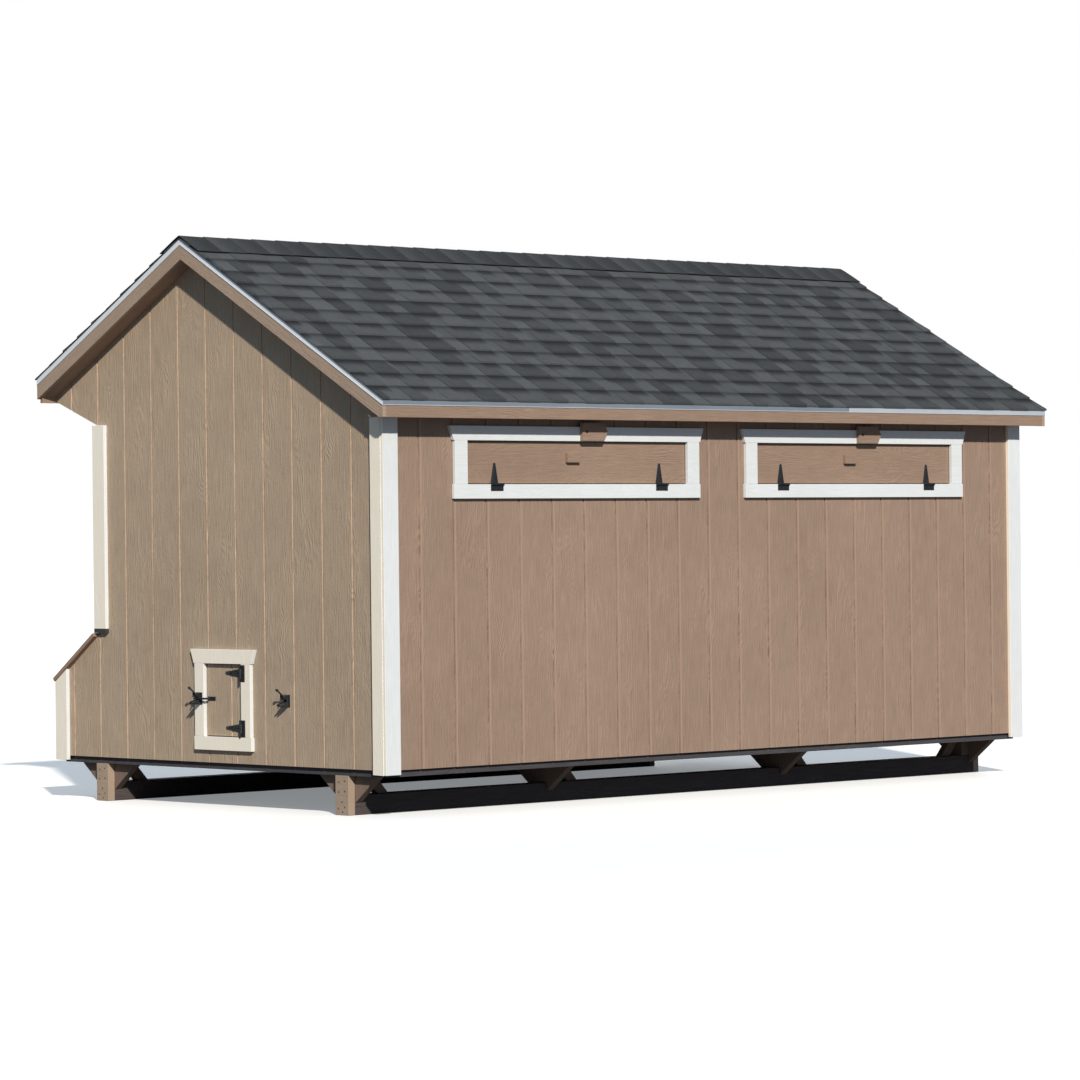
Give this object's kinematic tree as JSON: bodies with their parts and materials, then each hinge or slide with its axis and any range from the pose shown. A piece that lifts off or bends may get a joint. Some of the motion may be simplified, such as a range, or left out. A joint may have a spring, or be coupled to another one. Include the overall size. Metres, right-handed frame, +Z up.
{
  "type": "chicken coop",
  "caption": "Gabled wooden chicken coop on skids with hinged vent flaps, a small bird door with forked catch, a tall entry door and outside nest boxes.",
  "frame": {"origin": "on the ground under the middle of the roof's outline, level with the undersides of the skids", "axes": "+X along the house away from the bird door's gable, +Y from the vent wall towards the nest boxes, +Z up"},
  "size_m": [4.4856, 2.517, 2.6375],
  "materials": {
    "framing": "planed softwood, unfinished",
    "sheathing": "plywood, unfinished",
    "stained_siding": "tan solid stain, matt",
    "stained_trim": "tan solid stain, matt",
    "white_trim": "white paint, eggshell",
    "black_iron": "black powder coat",
    "galvanised_mesh": "galvanised wire mesh",
    "edging_metal": "pale coated sheet metal",
    "shingles": "mineral granules on asphalt felt",
    "rubber": "matt flap rubber"
  },
  "bodies": {
    "house": {"bolt_keeper": "black_iron", "button_screws": "black_iron", "catch_bodies": "black_iron", "corner_boards": "white_trim", "door_casings": "white_trim", "eave_edging": "edging_metal", "far_gable_siding": "stained_siding", "fascias": "stained_trim", "floor_deck": "sheathing", "floor_frame": "framing", "front_roof_deck": "sheathing", "front_shingles": "shingles", "front_siding": "stained_siding", "front_wall_frame": "framing", "gable_frames": "framing", "hinge_leaves": "black_iron", "near_gable_siding": "stained_siding", "nest_partitions": "sheathing", "nest_siding": "stained_siding", "rafters": "framing", "rake_boards": "stained_trim", "rake_edging": "edging_metal", "rear_roof_deck": "sheathing", "rear_shingles": "shingles", "rear_siding": "stained_siding", "rear_wall_frame": "framing", "ridge_board": "framing", "ridge_caps": "shingles", "roosts": "framing", "rubber_strip": "rubber", "skid_braces": "framing", "skid_end_boards": "stained_siding", "skid_posts": "framing", "skids": "framing", "soffits": "stained_trim", "vent_casings": "white_trim", "vent_mesh": "galvanised_mesh"},
    "vent_flap_left": {"vent_flap_left": "stained_siding", "vent_straps_left": "black_iron"},
    "vent_flap_right": {"vent_flap_right": "stained_siding", "vent_straps_right": "black_iron"},
    "turn_button_left": {"turn_button_left": "stained_trim"},
    "turn_button_right": {"turn_button_right": "stained_trim"},
    "bird_door": {"bird_door": "stained_siding", "bird_door_straps": "black_iron", "striker_bar": "black_iron"},
    "door_catch_pawl": {"door_catch_pawl": "black_iron"},
    "holdback_catch_pawl": {"holdback_catch_pawl": "black_iron"},
    "entry_door": {"entry_door": "stained_siding", "entry_door_straps": "black_iron", "entry_pull": "black_iron", "bolt_guides": "black_iron"},
    "slide_bolt": {"slide_bolt": "black_iron"},
    "nest_lid_left": {"nest_lid_left": "stained_siding", "lid_straps_left": "black_iron"},
    "nest_lid_right": {"nest_lid_right": "stained_siding", "lid_straps_right": "black_iron"}
  },
  "joints": [
    {"name": "vent_flap_left_hinge", "type": "hinge", "parent": "house", "child": "vent_flap_left", "pos_m": [-0.94485, -1.1588, 1.4707], "axis": [1, 0, 0], "range_deg": [0, 170]},
    {"name": "vent_flap_right_hinge", "type": "hinge", "parent": "house", "child": "vent_flap_right", "pos_m": [0.92965, -1.1588, 1.4707], "axis": [1, 0, 0], "range_deg": [0, 170]},
    {"name": "turn_button_left_pivot", "type": "hinge", "parent": "house", "child": "turn_button_left", "pos_m": [-0.9219, -1.1629, 1.7107], "axis": [0, 1, 0], "range_deg": [0, 180]},
    {"name": "turn_button_right_pivot", "type": "hinge", "parent": "house", "child": "turn_button_right", "pos_m": [0.9526, -1.1629, 1.7107], "axis": [0, 1, 0], "range_deg": [0, 180]},
    {"name": "bird_door_hinge", "type": "hinge", "parent": "house", "child": "bird_door", "pos_m": [-2.1583, -0.1549, 0.4967], "axis": [0, 0, 1], "range_deg": [0, 180]},
    {"name": "door_catch_pivot", "type": "hinge", "parent": "house", "child": "door_catch_pawl", "pos_m": [-2.17147, 0.1473, 0.52194], "axis": [0, -1, 0], "range_deg": [0, 50]},
    {"name": "holdback_catch_pivot", "type": "hinge", "parent": "house", "child": "holdback_catch_pawl", "pos_m": [-2.15247, -0.4571, 0.52194], "axis": [0, -1, 0], "range_deg": [0, 50]},
    {"name": "entry_door_hinge", "type": "hinge", "parent": "house", "child": "entry_door", "pos_m": [2.1583, -0.5245, 1.1252], "axis": [0, 0, -1], "range_deg": [0, 160]},
    {"name": "slide_bolt_slide", "type": "slide", "parent": "entry_door", "child": "slide_bolt", "axis": [0, 1, 0], "range_m": [0, 0.034]},
    {"name": "nest_lid_left_hinge", "type": "hinge", "parent": "house", "child": "nest_lid_left", "pos_m": [-1.0668, 0.9233, 0.8103], "axis": [1, 0, 0], "range_deg": [0, 100]},
    {"name": "nest_lid_right_hinge", "type": "hinge", "parent": "house", "child": "nest_lid_right", "pos_m": [1.0668, 0.9233, 0.8103], "axis": [1, 0, 0], "range_deg": [0, 100]}
  ]
}
